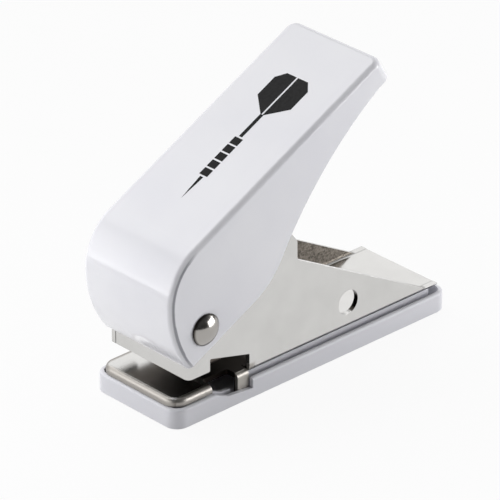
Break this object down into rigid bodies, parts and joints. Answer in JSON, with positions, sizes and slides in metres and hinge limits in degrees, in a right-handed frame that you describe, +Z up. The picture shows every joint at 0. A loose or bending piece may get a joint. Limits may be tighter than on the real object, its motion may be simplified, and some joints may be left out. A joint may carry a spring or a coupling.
{
  "type": "dart flight punch",
  "caption": "Hand punch for dart flights: a white pressed handle swings on a rivet and drives a small round punch into a die plate over a chip tray.",
  "frame": {"origin": "middle of the chip tray's flat bottom", "axes": "+Z up from the surface it stands on, +Y from the mouth towards the back, +X to the right seen from the mouth"},
  "size_m": [0.0397, 0.1074, 0.0879],
  "materials": {
    "white_plastic": "injection moulded, slightly lilac white, satin gloss",
    "plated_steel": "bright nickel plate on pressed steel",
    "dark_steel": "oiled pressed steel",
    "turned_steel": "turned steel",
    "hard_steel": "ground hardened steel",
    "spring_wire": "drawn flat spring wire",
    "white_paint": "gloss white stove enamel on pressed steel",
    "polished_rivet": "polished nickel plated dome",
    "washer_steel": "zinc plated washer"
  },
  "bodies": {
    "tray": {"base_tray": "white_plastic"},
    "frame": {"frame": "plated_steel", "guide_bracket": "dark_steel", "guide_bush": "turned_steel", "die_button": "hard_steel", "return_spring": "spring_wire", "pivot_rivet": "polished_rivet", "pivot_washer_right": "washer_steel", "pivot_washer_left": "washer_steel"},
    "handle": {"handle": "white_paint", "drive_lever": "dark_steel"},
    "punch": {"punch_pin": "hard_steel", "spring_collar": "turned_steel"}
  },
  "joints": [
    {"name": "tray_release", "type": "slide", "parent": "tray", "child": "frame", "axis": [0, 0, 1], "range_m": [0, 0.03]},
    {"name": "handle_hinge", "type": "hinge", "parent": "frame", "child": "handle", "pos_m": [0, -0.0423, 0.0286], "axis": [-1, 0, 0], "range_deg": [0, 30], "stiffness_Nm_per_rad": 0.266, "springref_deg": -16.44},
    {"name": "punch_slide", "type": "slide", "parent": "frame", "child": "punch", "axis": [0, 0, -1], "range_m": [0, 0.0061], "deforming": ["return_spring"]}
  ],
  "couplings": [
    {"joint": "punch_slide", "follows": "handle_hinge", "m_per_rad": 0.011565}
  ]
}
